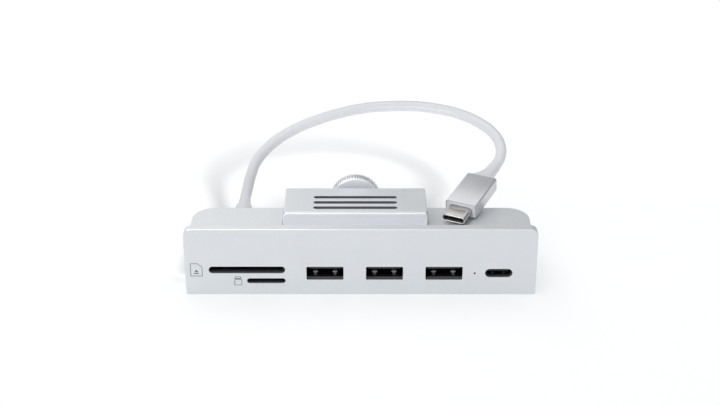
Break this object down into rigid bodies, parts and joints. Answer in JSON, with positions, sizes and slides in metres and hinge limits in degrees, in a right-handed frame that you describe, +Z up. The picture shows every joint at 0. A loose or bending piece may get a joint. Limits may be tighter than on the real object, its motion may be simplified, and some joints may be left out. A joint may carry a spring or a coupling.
{
  "type": "usb hub",
  "caption": "Slim bar-shaped USB hub with a screw-driven clamp jaw behind its port panel, card slots, and a short fixed lead ending in a USB-C plug.",
  "frame": {"origin": "on the surface it stands on, under the middle of the hub without its lead", "axes": "+X to the right along the port panel, +Y from the port panel to the thumb wheel, +Z up"},
  "size_m": [0.118, 0.084, 0.0354],
  "materials": {
    "anodised_aluminium": "fine bead-blasted, silver anodised",
    "zinc_steel": "bright zinc",
    "socket_metal": "bright nickel",
    "nut_brass": "machined",
    "pad_silicone": "smooth satin silicone, pale lavender grey",
    "white_plastic": "fine moulded",
    "cable_jacket": "smooth white jacket",
    "black_plastic": "moulded",
    "circuit_board": "green solder mask",
    "clear_plastic": "clear moulded"
  },
  "bodies": {
    "root": {"front_panel": "anodised_aluminium", "body_shell": "anodised_aluminium", "bottom_cover": "anodised_aluminium", "plug_housing": "anodised_aluminium", "cover_screw_1": "zinc_steel", "cover_screw_2": "zinc_steel", "cover_screw_3": "zinc_steel", "cover_screw_4": "zinc_steel", "nut_block_screw_1": "zinc_steel", "nut_block_screw_2": "zinc_steel", "board_screw_1": "zinc_steel", "board_screw_2": "zinc_steel", "board_screw_3": "zinc_steel", "board_screw_4": "zinc_steel", "cable_anchor": "zinc_steel", "usb_a_shell_1": "socket_metal", "usb_a_shell_2": "socket_metal", "usb_a_shell_3": "socket_metal", "usb_c_shell": "socket_metal", "sd_socket_lid": "socket_metal", "microsd_socket_lid": "socket_metal", "crystal": "socket_metal", "plug_shell": "socket_metal", "nut_block": "nut_brass", "panel_pad": "pad_silicone", "cable_gland": "white_plastic", "plug_nose": "white_plastic", "plug_boot": "white_plastic", "cable": "cable_jacket", "usb_a_tongue_1": "black_plastic", "usb_a_tongue_2": "black_plastic", "usb_a_tongue_3": "black_plastic", "usb_c_tongue": "black_plastic", "sd_socket_tray": "black_plastic", "microsd_socket_tray": "black_plastic", "hub_chip": "black_plastic", "card_reader_chip": "black_plastic", "power_inductor": "black_plastic", "plug_contacts": "black_plastic", "main_board": "circuit_board", "status_led": "clear_plastic", "light_pipe": "clear_plastic"},
    "jaw": {"jaw": "anodised_aluminium", "jaw_pad": "pad_silicone", "guide_pin_left": "zinc_steel", "guide_pin_right": "zinc_steel"},
    "screw": {"thumb_wheel": "anodised_aluminium", "lead_screw": "zinc_steel", "retaining_clip": "zinc_steel"}
  },
  "joints": [
    {"name": "jaw_slide", "type": "slide", "parent": "root", "child": "jaw", "axis": [0, 1, 0], "range_m": [-0.0017, 0.006]},
    {"name": "screw_turn", "type": "hinge", "parent": "jaw", "child": "screw", "pos_m": [-0.0018, 0.018, 0.017], "axis": [0, 1, 0], "range_deg": [-766, 2701]}
  ],
  "couplings": [
    {"joint": "screw_turn", "follows": "jaw_slide", "rad_per_m": 7854}
  ]
}
